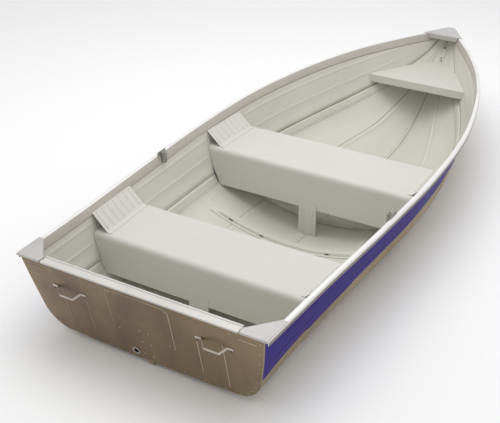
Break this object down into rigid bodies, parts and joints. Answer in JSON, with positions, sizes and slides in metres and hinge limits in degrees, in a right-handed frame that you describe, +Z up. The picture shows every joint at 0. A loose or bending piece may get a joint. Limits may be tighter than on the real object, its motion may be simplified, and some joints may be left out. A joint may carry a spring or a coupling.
{
  "type": "open row boat",
  "caption": "Small open riveted sheet-metal row boat with a round bottom, bench seats and a raked motor transom.",
  "frame": {"origin": "mid length, on the centre plane, at the waterline of the empty boat", "axes": "+X forward to the bow, +Y to port, +Z up"},
  "size_m": [3.6632, 1.375, 0.6097],
  "materials": {
    "hull_paint": "satin",
    "seat_paint": "satin",
    "bare_sheet": "brushed",
    "rail_alloy": "satin",
    "cast_alloy": "satin",
    "board_wood": "painted",
    "bright_rod": "polished"
  },
  "bodies": {
    "root": {"bow_eye": "bright_rod", "bow_plate": "rail_alloy", "bow_seat": "seat_paint", "corner_plate_port": "rail_alloy", "corner_plate_starboard": "rail_alloy", "drain_tube": "cast_alloy", "gunwale_port": "rail_alloy", "gunwale_starboard": "rail_alloy", "hull_bottom_port": "hull_paint", "hull_bottom_starboard": "hull_paint", "hull_side_port": "hull_paint", "hull_side_starboard": "hull_paint", "keel": "bare_sheet", "lift_handle_port": "cast_alloy", "lift_handle_starboard": "cast_alloy", "middle_gusset_port": "seat_paint", "middle_gusset_starboard": "seat_paint", "middle_post": "seat_paint", "middle_seat": "seat_paint", "motor_board": "board_wood", "oarlock_socket_port": "cast_alloy", "oarlock_socket_starboard": "cast_alloy", "rib_aft": "hull_paint", "rib_forward": "hull_paint", "rib_middle": "hull_paint", "stem_band": "bare_sheet", "stem_strap": "bare_sheet", "stern_gusset_port": "seat_paint", "stern_gusset_starboard": "seat_paint", "stern_post": "seat_paint", "stern_seat": "seat_paint", "transom": "bare_sheet", "transom_cap": "rail_alloy", "transom_knee": "hull_paint"}
  },
  "joints": []
}
